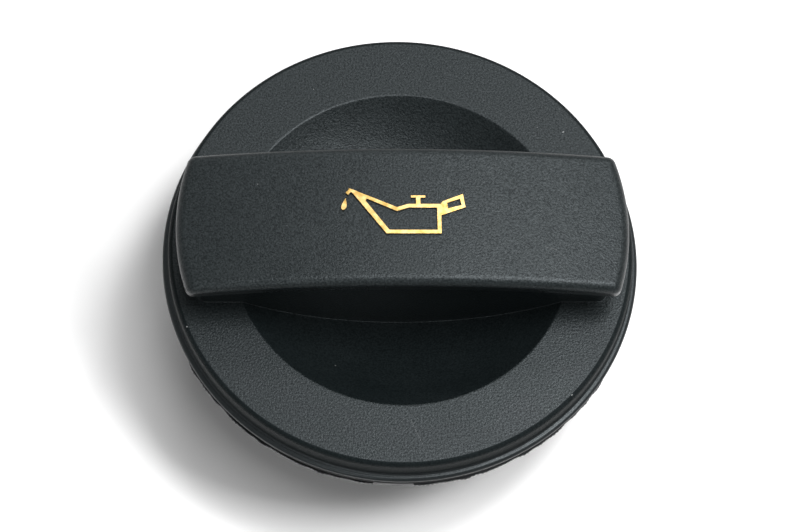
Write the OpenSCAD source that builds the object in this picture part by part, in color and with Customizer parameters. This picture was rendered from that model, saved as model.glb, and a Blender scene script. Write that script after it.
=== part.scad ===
// Quarter-turn oil filler cap: a hollow cover with a finger dish and a grip, a neck with bayonet
// lugs welded under it, and a rubber sealing ring. It stands on the end of its neck, at z = 0.
// The grip runs along X.

/* [Flange] */
// Overall diameter, over the lip
lip_d = 74; // [70:0.5:90]
// Height of the lip's upper face above the end of the neck
lip_z = 24; // [23:0.5:36]
// Thickness of the lip
lip_t = 1.2; // [0.8:0.1:2]
// How far the lip stands out from the skirt
lip_out = 1; // [0.7:0.1:2]
// Radius in the corner between the skirt and the lip
lip_fillet_r = 0.35; // [0.1:0.05:0.5]
// Height of the flat top above the lip
flange_rise = 3.6; // [2.8:0.1:6]
// Radius of the shoulder between the flat top and the skirt
shoulder_r = 0.8; // [0.4:0.1:1.6]
// Depth of the skirt below the lip's upper face
skirt_drop = 3; // [2.2:0.1:5]
// Wall of the flange, the skirt and the dish
shell_wall = 2.4; // [1.8:0.1:2.7]

/* [Finger dish] */
// Diameter of the dish at its rim
dish_d = 52.3; // [46:0.1:58]
// Depth of the dish at its centre
dish_depth = 9.25; // [6:0.05:10.5]
// Radius on the rim of the dish
dish_edge_r = 0.5; // [0.2:0.1:1]

/* [Grip] */
// Distance between the curved ends of the grip plate
grip_len = 69; // [60:0.5:84]
// Width of the grip plate
grip_w = 22.7; // [18:0.1:30]
// Height of the grip's highest point above the flat top of the flange
grip_rise = 12.3; // [8:0.05:20]
// How much lower the grip plate is at its ends than in its middle
grip_crown = 3.4; // [0.5:0.05:5]
// Thickness of the grip plate
grip_t = 2.6; // [1.8:0.1:4]
// Radius on the upper edges of the grip plate
grip_edge_r = 1.4; // [0.6:0.1:1.7]
// Radius of the grip plate's corners, seen from above
grip_corner_r = 1.4; // [1:0.1:5]
// How far the grip plate stands out from the web under it
grip_overhang = 2.1; // [1:0.1:4]
// Radius of the web's corners, seen from above
web_corner_r = 1.5; // [0.5:0.1:3]
// Wall of the hollow web
web_wall = 2.2; // [1.4:0.1:3]
// Number of cross ribs in the hollow web
web_ribs = 3; // [1:1:6]
// Thickness of the cross ribs
web_rib_t = 1.6; // [1:0.1:2.5]

/* [Joint between the mouldings] */
// Thickness of the plate that closes the cover
plate_t = 2.3; // [1.8:0.1:3.5]
// How far the plate's edge stands out from the skirt
edge_out = 0.4; // [0.2:0.05:0.7]
// Thickness of the plate's edge
edge_t = 0.9; // [0.6:0.1:1.5]
// Mean width of the ragged weld flash outside that edge
flash_out = 0.3; // [0.2:0.05:0.5]
// Thickness of the weld flash
flash_t = 0.4; // [0.2:0.1:0.6]
// Width of the inner weld rib
weld_w = 1.8; // [1:0.1:3]
// Height of the ring that centres the cover
locating_h = 1.2; // [0.6:0.1:2]
// Width of the ring that centres the cover
locating_w = 1.2; // [0.8:0.1:2]
// Gap between pieces that slip together
slip_gap = 0.1; // [0.05:0.01:0.2]
// Gap between the dish and the hollow of the plate under it
nest_gap = 0.6; // [0.3:0.1:1.5]

/* [Neck and bayonet] */
// Diameter of the neck
neck_d = 43; // [38:0.1:46]
// Wall of the neck
neck_wall = 2.6; // [1.8:0.1:4]
// Length of the neck below the lugs
nose_len = 5; // [4:0.1:6]
// How far the nose, which guides the cap into its hole, is set in from the neck
nose_step = 0.4; // [0.2:0.1:0.6]
// Chamfer on the end of the nose
nose_chamfer = 0.8; // [0.3:0.1:1.5]
// How far the lugs stand out from the neck
lug_out = 3; // [2:0.1:4]
// Thickness of the lugs
lug_t = 4; // [3:0.1:4.5]
// Chamfer on the lower edge of the lugs
lug_chamfer = 0.8; // [0.3:0.1:1.5]
// Angle that each lug spans
lug_angle = 52; // [36:1:75]
// Rise of the ramp on each lug
ramp_rise = 1.2; // [0.5:0.1:2]
// Angle that the ramp spans
ramp_angle = 24; // [12:1:30]
// Angle that the stop behind each lug spans
stop_angle = 8; // [4:1:14]
// Gap between the stops and the sealing ring
stop_gap = 0.8; // [0.3:0.1:1.5]

/* [Sealing ring] */
// Width of the ring
seal_w = 5; // [4:0.1:6]
// Thickness of the ring
seal_t = 3.8; // [3:0.1:4.5]
// Radius of the grooves in its underside
seal_groove_r = 0.5; // [0.3:0.05:0.7]

/* [Underside] */
// Height of the walls under the plate
rim_h = 2.5; // [1.5:0.1:2.8]
// Thickness of the walls under the plate
rim_wall = 1.6; // [1:0.1:2]
// How far the outer wall is set in from the skirt
rim_inset = 1.6; // [1.2:0.1:2.5]
// Number of ribs between the two walls
rim_ribs = 16; // [8:1:24]
// Thickness of those ribs
rim_rib_t = 1.4; // [0.8:0.1:2]
// How much lower those ribs are than the walls
rim_rib_step = 0.5; // [0.2:0.1:1]

/* [Hidden] */
$fn = 144;
black_plastic = "#2a2c2e";
dark_plastic = "#1f2123";
black_rubber = "#151617";
lug_count = 2;
// Overlap of shapes that are fused into one piece, and the overrun of cuts
bite = 0.4;
// Larger than any size of the part
far = 200;

lip_r = lip_d / 2;
skirt_r = lip_r - lip_out;
skirt_in_r = skirt_r - shell_wall;
skirt_z = lip_z - skirt_drop;
top_z = lip_z + flange_rise;
under_z = top_z - shell_wall;

// The dish is part of a sphere that is cut off by the flat top
dish_r = dish_d / 2;
dish_ball_r = (dish_r * dish_r + dish_depth * dish_depth) / (2 * dish_depth);
dish_ball_z = top_z - dish_depth + dish_ball_r;

// The grip plate is bent to a large circle that lies in the XZ plane
grip_end_r = grip_len / 2;
grip_half_w = grip_w / 2;
crown_r = (grip_end_r * grip_end_r + grip_crown * grip_crown) / (2 * grip_crown);
crown_z = top_z + grip_rise - crown_r;
hollow_inset = grip_overhang + web_wall;
web_rib_pitch = (grip_len - 2 * hollow_inset) / (web_ribs + 1);

plate_z = skirt_z - plate_t;
edge_r = skirt_r + edge_out;
locating_r = skirt_in_r - slip_gap;
rim_z = plate_z - rim_h;
rim_r = skirt_r - rim_inset;
nest_ball_r = dish_ball_r + shell_wall + nest_gap;
// Where the hollow for the dish meets the plate's upper face
nest_r = sqrt(pow(nest_ball_r, 2) - pow(dish_ball_z - skirt_z, 2));
// The inner weld rib stands half way between that hollow and the locating ring
weld_r = (nest_r + locating_r - locating_w) / 2;
neck_r = neck_d / 2;
neck_bore_r = neck_r - neck_wall;
nose_r = neck_r - nose_step;
seal_in_r = neck_r + slip_gap;
seal_out_r = seal_in_r + seal_w;
seal_z = plate_z - seal_t;
channel_r = seal_out_r + slip_gap;
lug_top_z = nose_len + lug_t;
stop_top_z = seal_z - stop_gap;
ramp_slope = atan(ramp_rise / ((neck_r + lug_out / 2) * ramp_angle * PI / 180));

// Points of an arc about a centre, with its last point left out
function arc(centre, r, from, to, steps) =
    [for (i = [0:steps - 1])
        let (a = from + (to - from) * i / steps) centre + r * [cos(a), sin(a)]];

// Centre of the corner arc that joins a long side to a curved end
function corner_centre(end_r, half_w, corner_r) =
    let (y = half_w - corner_r)
    [sqrt(pow(end_r - corner_r, 2) - y * y), y];

// A quarter of the grip's outline, from the middle of its long side to the middle of its end
function quarter(end_r, half_w, corner_r) =
    let (
        c = corner_centre(end_r, half_w, corner_r),
        turn = atan2(c[1], c[0]),
        long_steps = 20
    )
    concat(
        [for (i = [0:long_steps - 1]) [c[0] * i / long_steps, half_w]],
        arc(c, corner_r, 90, turn, 6),
        arc([0, 0], end_r, turn, 0, 12),
        [[end_r, 0]]
    );

// The whole outline, clockwise from above, from a quarter of it
function whole(q) =
    let (n = len(q) - 1)
    concat(
        [for (i = [0:n - 1]) q[i]],
        [for (i = [n:-1:1]) [q[i][0], -q[i][1]]],
        [for (i = [0:n - 1]) -q[i]],
        [for (i = [n:-1:1]) [-q[i][0], q[i][1]]]
    );

// One ring of the grip plate: its outline moved in, and let down from the crowned upper face. Its
// corners are never quite sharp
function grip_ring(inset, drop) =
    let (corner_r = max(grip_corner_r - inset, 0.2))
    [for (p = whole(quarter(grip_end_r - inset, grip_half_w - inset, corner_r)))
        [p[0], p[1], crown_z - drop + sqrt(crown_r * crown_r - p[0] * p[0])]];

// The grip's outline, moved in by a distance and with its own corner radius
module grip_outline(inset, corner_r) {
    polygon(whole(quarter(grip_end_r - inset, grip_half_w - inset, corner_r)));
}

// Everything that lies above a surface a given depth below the crowned upper face
module above_crown(depth) {
    translate([0, far / 2, 0])
        rotate([90, 0, 0])
            linear_extrude(far)
                difference() {
                    translate([-far / 2, 0])
                        square([far, far]);
                    translate([0, crown_z])
                        circle(crown_r - depth, $fn = 720);
                }
}

// Ring with a square section
module ring(r_in, r_out, z_low, z_high) {
    rotate_extrude()
        translate([r_in, z_low])
            square([r_out - r_in, z_high - z_low]);
}

// Flat top, shoulder, skirt and lip of the cover
module flange_section() {
    // Flat top with its rounded shoulder
    translate([0, under_z])
        square([skirt_r - shoulder_r, shell_wall]);
    translate([0, under_z])
        square([skirt_r, shell_wall - shoulder_r]);
    translate([skirt_r - shoulder_r, top_z - shoulder_r])
        circle(shoulder_r);
    // Skirt
    translate([skirt_in_r, skirt_z])
        square([shell_wall, under_z - skirt_z + bite]);
    // Lip with a round edge
    translate([skirt_r - bite, lip_z - lip_t])
        square([lip_out + bite - lip_t / 2, lip_t]);
    translate([lip_r - lip_t / 2, lip_z - lip_t / 2])
        circle(lip_t / 2);
    // Fillet above the lip
    difference() {
        translate([skirt_r - bite, lip_z - bite])
            square(bite + lip_fillet_r);
        translate([skirt_r + lip_fillet_r, lip_z + lip_fillet_r])
            circle(lip_fillet_r);
    }
}

// What the rounded rim of the dish leaves out of its sharp corner
module dish_rim_section() {
    corner = [dish_r, top_z];
    centre_z = top_z - dish_edge_r;
    reach = dish_ball_r + dish_edge_r;
    centre = [sqrt(reach * reach - pow(dish_ball_z - centre_z, 2)), centre_z];
    ball = [0, dish_ball_z];
    difference() {
        polygon([
            [centre[0], top_z],
            corner + [-bite, bite],
            ball + (centre - ball) * dish_ball_r / reach
        ]);
        translate(centre)
            circle(dish_edge_r);
    }
}

// Body of the cover without its grip: flange, dish and skirt
module cover_shell() {
    rotate_extrude()
        intersection() {
            square(far);
            difference() {
                union() {
                    flange_section();
                    intersection() {
                        translate([0, dish_ball_z])
                            circle(dish_ball_r + shell_wall);
                        square([far, top_z - bite]);
                    }
                }
                translate([0, dish_ball_z])
                    circle(dish_ball_r);
                dish_rim_section();
            }
        }
}

// Block from the dish and the flat top up into the grip plate
module web() {
    difference() {
        linear_extrude(far)
            grip_outline(grip_overhang, web_corner_r);
        above_crown(grip_t / 2);
        // It ends half way through the wall that it stands on
        rotate_extrude()
            difference() {
                square([far, top_z - shell_wall / 2]);
                translate([0, dish_ball_z])
                    circle(dish_ball_r + shell_wall / 2);
            }
    }
}

// Space inside the web, open below. Its cross ribs and the weld rib are left standing in it as walls
module web_hollow() {
    difference() {
        linear_extrude(far)
            difference() {
                grip_outline(hollow_inset, web_corner_r);
                for (i = [1:web_ribs])
                    translate([(i - (web_ribs + 1) / 2) * web_rib_pitch, 0])
                        square([web_rib_t, grip_w], center = true);
                difference() {
                    circle(weld_r + weld_w / 2);
                    circle(weld_r - weld_w / 2);
                }
            }
        above_crown(grip_t);
    }
}

// Crowned plate with a sharp lower edge, a straight side and rounded upper edges
module grip_plate() {
    edge_steps = 6;
    rings = concat(
        [grip_ring(0, grip_t)],
        [for (i = [0:edge_steps])
            let (a = 90 * i / edge_steps)
            grip_ring(grip_edge_r * (1 - cos(a)), grip_edge_r * (1 - sin(a)))]
    );
    n = len(rings[0]);
    top = n * (len(rings) - 1) * [1, 1, 1];
    // Triangles across the plate, between points that face each other over its length
    across = [for (s = [0, n / 2], k = [0:n / 4 - 1])
        let (i = s + k, j = s + n / 2 - k)
        each concat(i + 1 < j - 1 ? [[i, i + 1, j - 1]] : [], [[i, j - 1, j % n]])];
    sides = [for (r = [0:len(rings) - 2], i = [0:n - 1])
        let (a = r * n + i, b = r * n + (i + 1) % n)
        each [[a, b, b + n], [a, b + n, a + n]]];
    polyhedron(
        points = [for (r = rings) each r],
        faces = concat(
            [for (t = across) t + top],
            [for (t = across) [t[2], t[1], t[0]]],
            sides
        )
    );
}

module cover() {
    color(black_plastic) {
        difference() {
            union() {
                cover_shell();
                web();
                grip_plate();
            }
            web_hollow();
        }
        ring(weld_r - weld_w / 2, weld_r + weld_w / 2, skirt_z, under_z + bite);
    }
}

// Plate with its edge, walls, hollow for the dish, and the neck
module base_section() {
    difference() {
        union() {
            translate([0, plate_z])
                square([rim_r, plate_t]);
            translate([0, skirt_z - edge_t])
                square([edge_r, edge_t]);
            for (r = [channel_r, rim_r - rim_wall])
                translate([r, rim_z])
                    square([rim_wall, rim_h + bite]);
            translate([locating_r - locating_w, skirt_z - bite])
                square([locating_w, locating_h + bite]);
            intersection() {
                translate([0, dish_ball_z])
                    circle(nest_ball_r + plate_t);
                square([neck_r - bite, skirt_z]);
            }
            // Neck and nose, with a small cone between them just below the lugs
            polygon([
                [neck_bore_r, 0],
                [nose_r - nose_chamfer, 0],
                [nose_r, nose_chamfer],
                [nose_r, nose_len - 2 * nose_step],
                [neck_r, nose_len - nose_step],
                [neck_r, skirt_z - bite],
                [neck_bore_r, skirt_z - bite]
            ]);
        }
        translate([0, dish_ball_z])
            circle(nest_ball_r);
    }
}

// Width of the weld flash round the edge. It is uneven, and where it broke off it ends inside the edge
function flash_width(a) =
    let (
        uneven = 1 + 0.3 * sin(19 * a + 40) + 0.25 * sin(43 * a + 100) + 0.2 * sin(71 * a),
        broken = sin(7 * a + 20) * sin(3 * a) > 0.8
    )
    broken ? -bite / 2 : flash_out * uneven;

module weld_flash() {
    steps = 240;
    translate([0, 0, skirt_z - flash_t])
        linear_extrude(flash_t)
            difference() {
                polygon([for (i = [0:steps - 1])
                    let (a = 360 * i / steps) (edge_r + flash_width(a)) * [cos(a), sin(a)]]);
                circle(edge_r - bite);
            }
}

// Lug with a stop that rises from its trailing end. Its leading end, with the ramp, is ahead when the
// cap turns clockwise from above
module lug() {
    r_out = neck_r + lug_out;
    difference() {
        rotate([0, 0, -lug_angle / 2])
            rotate_extrude(angle = lug_angle)
                polygon([
                    [neck_r - bite, nose_len],
                    [r_out - lug_chamfer, nose_len],
                    [r_out, nose_len + lug_chamfer],
                    [r_out, stop_top_z],
                    [neck_r - bite, stop_top_z]
                ]);
        // Ahead of the stop the lug is lower
        rotate([0, 0, -lug_angle])
            rotate_extrude(angle = 1.5 * lug_angle - stop_angle)
                translate([neck_r - 2 * bite, lug_top_z])
                    square([lug_out + 3 * bite, far]);
        // Ramp
        rotate([0, 0, ramp_angle - lug_angle / 2])
            translate([0, 0, lug_top_z])
                rotate([ramp_slope, 0, 0])
                    translate([0, -far, 0])
                        cube(far);
    }
}

module neck_base() {
    rib_r = channel_r + rim_wall - bite;
    color(dark_plastic) {
        rotate_extrude()
            intersection() {
                square(far);
                base_section();
            }
        weld_flash();
        for (i = [0:lug_count - 1])
            rotate([0, 0, 360 * i / lug_count])
                lug();
        for (i = [0:rim_ribs - 1])
            rotate([0, 0, 360 * (i + 0.5) / rim_ribs])
                translate([rib_r, -rim_rib_t / 2, rim_z + rim_rib_step])
                    cube([rim_r - rim_wall + bite - rib_r, rim_rib_t, rim_h - rim_rib_step + bite]);
    }
}

// Flat rubber ring with two grooves in its sealing face
module seal_ring() {
    color(black_rubber)
        rotate_extrude()
            difference() {
                translate([seal_in_r, seal_z])
                    square([seal_w, seal_t]);
                for (i = [1, 2])
                    translate([seal_in_r + seal_w * i / 3, seal_z])
                        circle(seal_groove_r, $fn = 48);
            }
}

cover();
neck_base();
seal_ring();
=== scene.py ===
# %% [markdown]
# A quarter-turn oil filler cap, dressed for its picture.
#
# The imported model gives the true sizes. This script builds the three mouldings again with rounded
# edges and fine surfaces, lays a gilded oil can sign on the grip, and lights everything softly.

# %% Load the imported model
import math

import bmesh
import bpy
from mathutils import Matrix, Vector
from mathutils.geometry import delaunay_2d_cdt


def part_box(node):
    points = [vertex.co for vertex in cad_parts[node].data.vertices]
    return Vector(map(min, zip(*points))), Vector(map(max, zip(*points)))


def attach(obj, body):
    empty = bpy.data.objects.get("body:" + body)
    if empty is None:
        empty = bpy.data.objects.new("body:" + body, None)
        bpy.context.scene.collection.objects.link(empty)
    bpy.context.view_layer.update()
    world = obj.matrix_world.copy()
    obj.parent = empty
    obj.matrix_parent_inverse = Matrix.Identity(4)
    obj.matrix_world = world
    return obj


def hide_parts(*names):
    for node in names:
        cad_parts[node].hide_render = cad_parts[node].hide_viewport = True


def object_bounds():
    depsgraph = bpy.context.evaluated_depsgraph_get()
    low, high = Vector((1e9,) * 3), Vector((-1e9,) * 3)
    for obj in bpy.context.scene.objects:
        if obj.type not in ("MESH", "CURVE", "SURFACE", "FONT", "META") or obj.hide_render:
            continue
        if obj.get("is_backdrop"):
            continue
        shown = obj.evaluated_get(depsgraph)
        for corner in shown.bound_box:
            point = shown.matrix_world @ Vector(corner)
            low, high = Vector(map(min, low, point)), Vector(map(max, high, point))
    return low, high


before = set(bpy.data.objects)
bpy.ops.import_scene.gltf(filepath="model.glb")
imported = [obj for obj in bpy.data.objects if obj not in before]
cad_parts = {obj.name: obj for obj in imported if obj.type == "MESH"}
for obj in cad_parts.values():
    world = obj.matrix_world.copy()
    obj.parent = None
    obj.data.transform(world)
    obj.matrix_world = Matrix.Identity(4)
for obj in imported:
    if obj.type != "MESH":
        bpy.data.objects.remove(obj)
cad_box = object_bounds()
print("nodes in the frame:", sorted(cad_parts))

# %% [markdown]
# ## Sizes
#
# Every size is in millimetres, as on a moulder's drawing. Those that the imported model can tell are
# read from the boxes of its nodes, and the rest are written once here. Heights grow upwards from
# the end of the neck, and the grip runs along X.

# %% Sizes of the cover
MM = 0.001
_, cover_high = (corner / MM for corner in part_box("cover"))
lip_r = cover_high.x
peak_z = cover_high.z

GRIP_RISE = 12.3
FLANGE_RISE = 3.6
SKIRT_DROP = 3.0
SHELL_WALL = 2.4
LIP_OUT = 1.0
LIP_T = 1.2
LIP_FILLET = 0.35
SHOULDER = 0.8
top_z = peak_z - GRIP_RISE
lip_z = top_z - FLANGE_RISE
skirt_z = lip_z - SKIRT_DROP
under_z = top_z - SHELL_WALL
skirt_r = lip_r - LIP_OUT

DISH_R = 26.15
DISH_DEPTH = 9.25
DISH_EDGE = 0.5
ball_r = (DISH_R ** 2 + DISH_DEPTH ** 2) / (2 * DISH_DEPTH)
ball_z = top_z - DISH_DEPTH + ball_r

GRIP_LEN = 69.0
GRIP_W = 22.7
GRIP_T = 2.6
GRIP_CROWN = 3.4
GRIP_EDGE = 1.4
GRIP_LOW_EDGE = 0.2
GRIP_CORNER = 1.4
LEAST_CORNER = 0.2
OVERHANG = 2.1
WEB_CORNER = 1.5
WEB_FILLET = 0.12
WEB_WALL = 2.2
crown_r = ((GRIP_LEN / 2) ** 2 + GRIP_CROWN ** 2) / (2 * GRIP_CROWN)
print(f"lip radius {lip_r:.2f}, flat top at {top_z:.2f}, highest point at {peak_z:.2f} mm")

# %% Sizes of the neck, the seal and the weld
_, base_high = (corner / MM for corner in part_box("neck_base"))
seal_low, seal_high = (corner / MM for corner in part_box("seal_ring"))
PLATE_T = 2.3
EDGE_OUT = 0.4
EDGE_T = 0.9
FLASH_OUT = 0.3
FLASH_T = 0.4
LOCATING_W = 1.2
SLIP_GAP = 0.1
NEST_GAP = 0.6
WELD_W = 1.8
NECK_R = 21.5
NECK_WALL = 2.6
NOSE_LEN = 5.0
NOSE_STEP = 0.4
NOSE_CHAMFER = 0.8
LUG_OUT = 3.0
LUG_T = 4.0
LUG_CHAMFER = 0.8
LUG_ANGLE = 52
RAMP_RISE = 1.2
RAMP_ANGLE = 24
STOP_ANGLE = 8
STOP_GAP = 0.8
RIM_H = 2.5
RIM_WALL = 1.6
RIM_INSET = 1.6
RIM_RIBS = 16
RIM_RIB_T = 1.4
RIM_RIB_STEP = 0.5
plate_z = seal_high.z
edge_r = skirt_r + EDGE_OUT
locating_r = skirt_r - SHELL_WALL - SLIP_GAP
nest_r = ball_r + SHELL_WALL + NEST_GAP
nest_edge_r = math.sqrt(nest_r ** 2 - (ball_z - skirt_z) ** 2)
weld_r = (nest_edge_r + locating_r - LOCATING_W) / 2
channel_r = seal_high.x + SLIP_GAP
rim_r = skirt_r - RIM_INSET
print(f"plate under side at {plate_z:.2f}, weld rib at radius {weld_r:.2f} mm")

# %% [markdown]
# ## Camera
#
# The photograph looks down steeply on the cap, a little from its left. The angles and the long
# lens were found by fitting the lip, the dish and the grip to their outlines in the photograph.
# The camera comes before the pieces, because the framing says how fine their meshes need to be.

# %% Camera
CAMERA_ELEVATION = math.radians(66.48)
CAMERA_AZIMUTH = math.radians(-5.60)
CAMERA_ROLL = math.radians(5.14)
CAMERA_DISTANCE = 450.0
CAMERA_SIDE = -0.06
CAMERA_UP = -1.58
FOCAL_PIXELS = 2890.2
IMAGE_WIDTH = 800
SENSOR = 36.0

back = Vector((
    math.sin(CAMERA_AZIMUTH) * math.cos(CAMERA_ELEVATION),
    -math.cos(CAMERA_AZIMUTH) * math.cos(CAMERA_ELEVATION),
    math.sin(CAMERA_ELEVATION),
))
level = Vector((math.cos(CAMERA_AZIMUTH), math.sin(CAMERA_AZIMUTH), 0))
upright = back.cross(level)
right = math.cos(CAMERA_ROLL) * level + math.sin(CAMERA_ROLL) * upright
up = -math.sin(CAMERA_ROLL) * level + math.cos(CAMERA_ROLL) * upright
place = back * CAMERA_DISTANCE + right * CAMERA_SIDE + up * CAMERA_UP + Vector((0, 0, lip_z))

camera = bpy.data.objects.new("camera", bpy.data.cameras.new("camera"))
bpy.context.scene.collection.objects.link(camera)
camera.matrix_world = Matrix.Translation(place * MM) @ Matrix((right, up, back)).transposed().to_4x4()
camera.data.sensor_width = SENSOR
camera.data.lens = FOCAL_PIXELS * SENSOR / IMAGE_WIDTH
camera.data.clip_start = 0.01
bpy.context.scene.camera = camera
print(f"lens {camera.data.lens:.0f} mm, one pixel is {CAMERA_DISTANCE / FOCAL_PIXELS:.2f} mm on the cap")

# %% [markdown]
# ## Helpers for materials
#
# Colours are written as the hex values of a paint program, which are made for the eye. The
# renderer adds light, so it needs them turned to linear values. A second helper adds one node to a
# material or to a Geometry Nodes tree, sets what it is told, and links the sockets that it gets.

# %% Colours and nodes
def linear(hex_colour):
    """A linear RGBA colour from an sRGB hex value such as #101516."""
    values = [int(hex_colour[i:i + 2], 16) / 255 for i in (1, 3, 5)]
    return [v / 12.92 if v <= 0.04045 else ((v + 0.055) / 1.055) ** 2.4 for v in values] + [1.0]


def add(tree, kind, inputs=None, **settings):
    """Adds a node to a tree, sets its properties, and sets or links its inputs."""
    made = tree.nodes.new(kind)
    for name, value in settings.items():
        setattr(made, name, value)
    for name, value in (inputs or {}).items():
        if isinstance(value, bpy.types.NodeSocket):
            tree.links.new(value, made.inputs[name])
        else:
            made.inputs[name].default_value = value
    return made


def new_material(name):
    """An empty node material."""
    material = bpy.data.materials.new(name)
    material.use_nodes = True
    material.node_tree.nodes.clear()
    return material, material.node_tree


print("black of the cover in linear light:", [round(v, 4) for v in linear("#101516")])

# %% [markdown]
# ## Black nylon with a spark-eroded grain
#
# The cover is moulded from black glass-filled nylon. The mould's upper faces were spark-eroded, so
# the flat top, the dish, the web and the grip have a fine pebbled grain that spreads the light to a
# soft grey, and the shoulder and the skirt have a deeper and nearly matt one, whose reflection is
# also tinted darker as painted shade. The narrow side of the grip plate, its under side and all
# hidden faces came from a polished mould, and have sharper reflections, and the bead of the lip is
# half way. One material does it all, with an attribute named grain on the mesh: 0 where the mould
# was polished, 1 where it was eroded, and 2 where it was eroded deepest and the painted shade lies.

# %% Patterns in millimetres
def millimetres(tree):
    """Coordinates of the piece in millimetres, so that each pattern's scale is a real size."""
    place = add(tree, "ShaderNodeTexCoord").outputs["Object"]
    return add(tree, "ShaderNodeMapping", {"Vector": place, "Scale": (1 / MM,) * 3}).outputs["Vector"]


def ramp(tree, value, low, high, to_low=0.0, to_high=1.0):
    """The value, brought from one range to another and kept inside it."""
    return add(tree, "ShaderNodeMapRange", {
        "Value": value, "From Min": low, "From Max": high, "To Min": to_low, "To Max": to_high,
    }).outputs["Result"]


def maths(tree, operation, a, b=0.0):
    """One step of arithmetic."""
    return add(tree, "ShaderNodeMath", {0: a, 1: b}, operation=operation).outputs["Value"]


def noise(tree, coords, scale, detail, roughness=0.5):
    """A cloudy pattern with the given number of waves in a millimetre."""
    return add(tree, "ShaderNodeTexNoise", {
        "Vector": coords, "Scale": scale, "Detail": detail, "Roughness": roughness,
    }).outputs["Fac"]


def blend(tree, share, low, high):
    """A colour between two others, which are hex values or outputs of nodes."""
    low, high = (linear(c) if isinstance(c, str) else c for c in (low, high))
    mix = add(tree, "ShaderNodeMix", {"Factor": share, "A": low, "B": high}, data_type="RGBA")
    return mix.outputs["Result"]


def bump(tree, height, strength, depth):
    """A relief of the given depth in millimetres, for light alone."""
    made = add(tree, "ShaderNodeBump", {"Height": height, "Strength": strength, "Distance": depth * MM})
    return made.outputs["Normal"]


def show(tree, inputs):
    """Ends a material with the shader that has these inputs."""
    shader = add(tree, "ShaderNodeBsdfPrincipled", inputs)
    add(tree, "ShaderNodeOutputMaterial", {"Surface": shader.outputs["BSDF"]})


def scratch(tree, coords, start, end, width):
    """1 on a hairline between two points and 0 elsewhere, all in millimetres."""
    start, end = Vector(start), Vector(end)
    along = end - start
    away = add(tree, "ShaderNodeVectorMath", {0: coords, 1: start}, operation="SUBTRACT").outputs["Vector"]
    dot = add(tree, "ShaderNodeVectorMath", {0: away, 1: along}, operation="DOT_PRODUCT").outputs["Value"]
    share = ramp(tree, dot, 0.0, along.length_squared)
    foot = add(tree, "ShaderNodeVectorMath", {0: along, "Scale": share}, operation="SCALE").outputs["Vector"]
    gap = add(tree, "ShaderNodeVectorMath", {0: away, 1: foot}, operation="DISTANCE").outputs["Value"]
    return ramp(tree, gap, width / 2, width, 1.0, 0.0)


# %% Black nylon
GRAIN_SIZE = 0.30
GRAIN_DEPTH = 0.060
SPECULAR_LEVEL = 0.28
# Grain value of the matt shoulder and skirt, which also get a painted shade in their reflection
MATT_SHADE_GRAIN = 2.0
MATT_ROUGHNESS = 0.62
NYLON_IOR = 1.53
CLOUDS_PER_MM = 0.12
SPECK_SPACING = 2.2
SPECK_SIZE = 0.07
SPECK_SHARE = 0.14
SPECK_STRENGTH = 0.6
# Each scratch: its two ends, its width, and how much of the colour of rubbed nylon it has
SCRATCHES = [
    ((1.0, -28.6, 27.6), (2.8, -32.6, 27.6), 0.07, 0.05),
    ((6.75, 6.15, 39.77), (6.70, 3.48, 39.77), 0.06, 0.06),
    ((21.2, -4.9, 38.62), (23.0, -5.3, 38.39), 0.07, 0.08),
    ((5.50, 17.75, 22.74), (5.52, 17.90, 22.80), 0.13, 0.5),
    ((25.80, 19.70, 27.6), (25.90, 19.76, 27.6), 0.12, 0.4),
    ((-32.93, -13.31, 27.6), (-32.85, -13.35, 27.6), 0.12, 0.6),
    ((-10.25, -18.31, 24.04), (-10.20, -18.34, 24.05), 0.11, 0.2),
    ((25.45, -24.60, 27.6), (25.60, -24.54, 27.6), 0.11, 0.35),
]


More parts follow.
